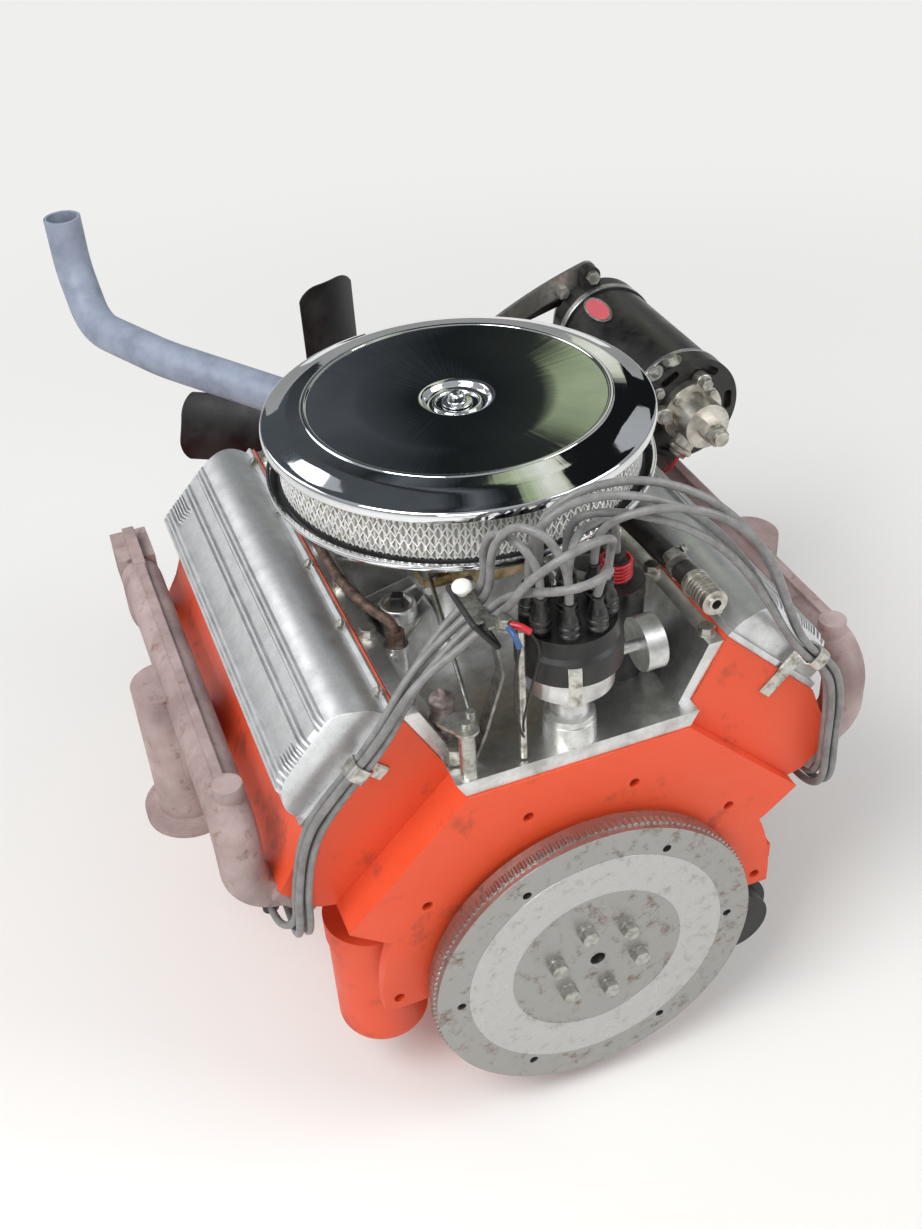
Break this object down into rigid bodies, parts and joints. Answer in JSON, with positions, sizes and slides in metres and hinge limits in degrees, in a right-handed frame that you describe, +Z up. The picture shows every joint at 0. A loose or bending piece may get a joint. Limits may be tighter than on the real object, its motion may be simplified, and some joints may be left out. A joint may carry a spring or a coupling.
{
  "type": "v8 petrol engine",
  "caption": "Front-engine sports car V8 with finned aluminium rocker covers, round chromed air cleaner, distributor and leads, belt-driven fan and generator.",
  "frame": {"origin": "crankshaft axis on the rear face of the cylinder block", "axes": "+Z up, +Y along the crankshaft towards the gearbox, -Y towards the fan, +X to the car's left bank"},
  "size_m": [0.709, 0.9174, 0.6596],
  "materials": {
    "block_enamel": "orange-red engine enamel on rough cast iron",
    "pan_enamel": "orange-red engine enamel on smooth pressed steel",
    "cover_aluminium": "satin cast aluminium, fins polished",
    "intake_aluminium": "sand-cast aluminium, washed",
    "manifold_iron": "cast iron, faded and dusty with heat",
    "chrome": "bright chrome plate",
    "element_mesh": "expanded metal mesh over paper",
    "seal_rubber": "black moulded rubber",
    "boot_rubber": "black moulded rubber",
    "cap_plastic": "black phenolic moulding",
    "lead_rubber": "grey ignition cable",
    "carburettor_zinc": "gold-dyed zinc casting",
    "steel_dark": "dark worn steel pressing",
    "steel_plated": "dull zinc-plated steel",
    "pump_iron": "orange-red enamel on cast iron",
    "pulley_black": "black enamel on pressed steel",
    "generator_black": "gloss black enamel",
    "tach_aluminium": "die-cast aluminium",
    "hose_rubber": "faded blue-grey reinforced rubber",
    "belt_rubber": "black V-belt",
    "clutch_aluminium": "cast aluminium with cooling fins",
    "fan_black": "black enamel on pressed steel",
    "plug_ceramic": "glazed ceramic over a plated steel shell",
    "filter_enamel": "orange-red enamelled canister",
    "starter_black": "black enamel",
    "flywheel_steel": "turned steel",
    "distributor_aluminium": "cast aluminium",
    "mount_steel": "black enamelled steel",
    "fuel_pump_zinc": "die-cast zinc and plated steel",
    "rusty_steel": "bare steel tube with brown rust",
    "heater_rubber": "black coolant hose"
  },
  "bodies": {
    "engine": {"cylinder_block": "block_enamel", "oil_pan": "pan_enamel", "timing_cover": "pan_enamel", "head_left": "block_enamel", "head_right": "block_enamel", "rocker_cover_left": "cover_aluminium", "rocker_cover_right": "cover_aluminium", "intake_manifold": "intake_aluminium", "thermostat_housing": "intake_aluminium", "radiator_hose": "hose_rubber", "carburettor": "carburettor_zinc", "air_cleaner_base": "chrome", "air_cleaner_lid": "chrome", "lid_nut": "chrome", "air_element": "element_mesh", "element_seals": "seal_rubber", "distributor_body": "distributor_aluminium", "distributor_cap": "cap_plastic", "cap_boots": "boot_rubber", "spark_plugs_left": "plug_ceramic", "spark_plugs_right": "plug_ceramic", "plug_boots_left": "boot_rubber", "plug_boots_right": "boot_rubber", "exhaust_manifold_left": "manifold_iron", "exhaust_manifold_right": "manifold_iron", "engine_mount_left": "mount_steel", "engine_mount_right": "mount_steel", "water_pump": "pump_iron", "drive_belt": "belt_rubber", "generator_body": "generator_black", "generator_bracket": "steel_dark", "adjusting_arm": "steel_plated", "tach_drive": "tach_aluminium", "oil_filter": "filter_enamel", "fuel_pump": "fuel_pump_zinc", "starter": "starter_black", "lead_left_1": "lead_rubber", "lead_left_2": "lead_rubber", "lead_left_3": "lead_rubber", "lead_left_4": "lead_rubber", "lead_right_1": "lead_rubber", "lead_right_2": "lead_rubber", "lead_right_3": "lead_rubber", "lead_right_4": "lead_rubber", "coil_lead": "lead_rubber", "lead_bracket": "steel_dark", "lead_cradle_left": "steel_plated", "lead_cradle_right": "steel_plated", "ignition_coil": "starter_black", "vacuum_pipe": "rusty_steel", "heater_hose": "heater_rubber", "heater_fitting": "tach_aluminium", "throttle_linkage": "steel_plated"},
    "crank": {"crank_pulley": "pulley_black", "flywheel": "flywheel_steel"},
    "fan": {"pump_pulley": "pulley_black", "fan_clutch": "clutch_aluminium", "fan_blades": "fan_black"},
    "generator_rotor": {"generator_pulley": "steel_plated"}
  },
  "joints": [
    {"name": "crank_spin", "type": "hinge", "parent": "engine", "child": "crank", "pos_m": [0, -0.622, 0], "axis": [0, 1, 0], "continuous": true},
    {"name": "fan_spin", "type": "hinge", "parent": "engine", "child": "fan", "pos_m": [0, -0.622, 0.178], "axis": [0, 1, 0], "continuous": true},
    {"name": "generator_spin", "type": "hinge", "parent": "engine", "child": "generator_rotor", "pos_m": [-0.29996, -0.622, 0.296], "axis": [0, 1, 0], "continuous": true}
  ],
  "couplings": [
    {"joint": "fan_spin", "follows": "crank_spin", "ratio": 1.0766},
    {"joint": "generator_spin", "follows": "crank_spin", "ratio": 2.201}
  ]
}
